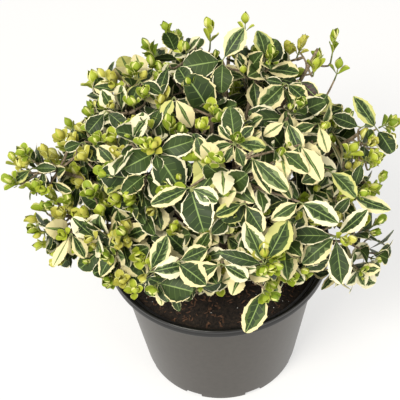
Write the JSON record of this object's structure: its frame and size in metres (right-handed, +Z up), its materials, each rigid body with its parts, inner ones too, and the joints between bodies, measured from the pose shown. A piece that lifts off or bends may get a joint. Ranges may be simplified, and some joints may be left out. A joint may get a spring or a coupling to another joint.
{
  "type": "potted variegated wintercreeper shrub",
  "caption": "Low evergreen shrub with small white-edged green leaves and yellow-green young shoots, filling and overhanging a round tapered nursery pot with a rolled rim.",
  "frame": {"origin": "middle of the pot's flat underside", "axes": "+Z up along the pot's axis, -Y towards the plant's front as pictured, +X to its right"},
  "size_m": [0.3112, 0.2612, 0.3164],
  "materials": {
    "pot_plastic": "satin grey-black moulded plastic",
    "soil": "dark loose potting soil with bark fibres",
    "bark": "thin grey-brown bark",
    "foliage": "waxy green leaves with cream margins"
  },
  "bodies": {
    "root": {"pot": "pot_plastic", "soil": "soil", "stem": "bark", "bough_right": "bark", "bough_right_back": "bark", "bough_back_right": "bark", "bough_back": "bark", "bough_left_back": "bark", "bough_left": "bark", "bough_left_front": "bark", "bough_front": "bark", "bough_front_right": "bark", "bough_upper_right": "bark", "bough_upper_back_right": "bark", "bough_upper_back_left": "bark", "bough_upper_left": "bark", "bough_upper_front_left": "bark", "bough_upper_front_right": "bark", "bough_top": "bark", "bough_left_spray": "bark", "bough_right_spray": "bark", "bough_back_spray": "bark", "bough_crest_spray": "bark", "bough_front_spray": "bark", "bough_low_right": "bark", "bough_low_left": "bark", "leaves_right": "foliage", "leaves_right_back": "foliage", "leaves_back_right": "foliage", "leaves_back": "foliage", "leaves_left_back": "foliage", "leaves_left": "foliage", "leaves_left_front": "foliage", "leaves_front": "foliage", "leaves_front_right": "foliage", "leaves_upper_right": "foliage", "leaves_upper_back_right": "foliage", "leaves_upper_back_left": "foliage", "leaves_upper_left": "foliage", "leaves_upper_front_left": "foliage", "leaves_upper_front_right": "foliage", "leaves_top": "foliage", "leaves_left_spray": "foliage", "leaves_right_spray": "foliage", "leaves_back_spray": "foliage", "leaves_crest_spray": "foliage", "leaves_front_spray": "foliage", "leaves_low_right": "foliage", "leaves_low_left": "foliage"}
  },
  "joints": []
}
